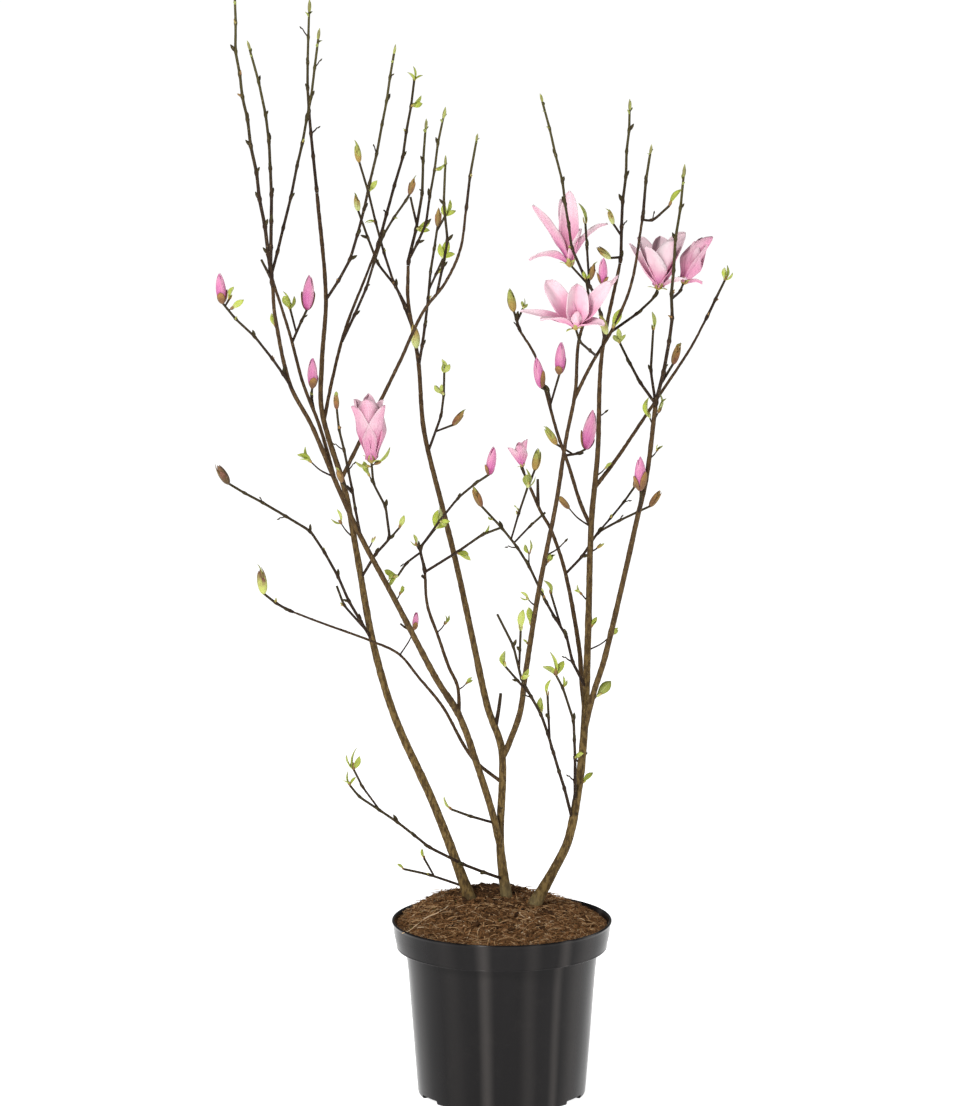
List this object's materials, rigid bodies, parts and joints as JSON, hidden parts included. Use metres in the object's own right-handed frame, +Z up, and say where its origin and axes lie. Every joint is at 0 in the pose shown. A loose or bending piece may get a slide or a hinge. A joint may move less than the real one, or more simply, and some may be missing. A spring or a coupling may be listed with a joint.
{
  "type": "magnolia tree",
  "caption": "Young potted magnolia with slender upright stems, bare brown twigs, swelling buds, small young leaves and pink goblet blossoms in a black nursery pot.",
  "frame": {"origin": "centre of the pot's flat underside", "axes": "+Z up the plant, +X to the right seen from the front, +Y to the back"},
  "size_m": [0.6522, 0.4721, 1.4365],
  "materials": {
    "bark": "olive-brown young bark with pale lenticels",
    "spray": "dark twigs with brown buds, green leaves and pink tepals",
    "pot": "smooth black moulded plastic with a soft sheen",
    "compost": "rough fibrous red-brown bark compost"
  },
  "bodies": {
    "root": {"blossom_front": "spray", "blossom_left": "spray", "blossom_small": "spray", "blossom_upper": "spray", "blossom_upper_right": "spray", "bough_back": "bark", "bough_back_right": "bark", "bough_crossing": "bark", "bough_fork": "bark", "bough_inner": "bark", "bough_knobbly": "bark", "bough_leaning": "bark", "bough_left_back": "bark", "bough_left_inner": "bark", "bough_outer": "bark", "bough_reaching_left": "bark", "bough_rising": "bark", "bud_far_left": "spray", "bud_spray_back": "spray", "bud_spray_right": "spray", "buds_middle": "spray", "compost": "compost", "leaf_spray_middle": "spray", "pink_bud_far_left": "spray", "pink_bud_left": "spray", "pink_bud_outer": "spray", "pink_bud_right": "spray", "pink_bud_upper_left": "spray", "pink_buds_back": "spray", "pot": "pot", "shoot_back_left": "spray", "shoot_behind": "spray", "shoot_centre": "spray", "shoot_crossing": "spray", "shoot_far_left": "spray", "shoot_green_bud": "spray", "shoot_left_back": "spray", "shoot_left_middle": "spray", "shoot_right_middle": "spray", "shoots_left_front": "spray", "shoots_middle": "spray", "shoots_right": "spray", "shoots_rising": "spray", "spray_left_upper": "spray", "stem_left": "bark", "stem_middle": "bark", "stem_right": "bark", "twig_fork_top": "spray", "twig_inner_left": "spray", "twig_low": "spray", "twig_lowest": "spray", "twigs_centre": "spray", "twigs_far_left": "spray", "twigs_far_right": "spray", "twigs_knobbly": "spray", "twigs_left_low": "spray", "twigs_right_low": "spray", "twigs_right_mid": "spray"}
  },
  "joints": []
}
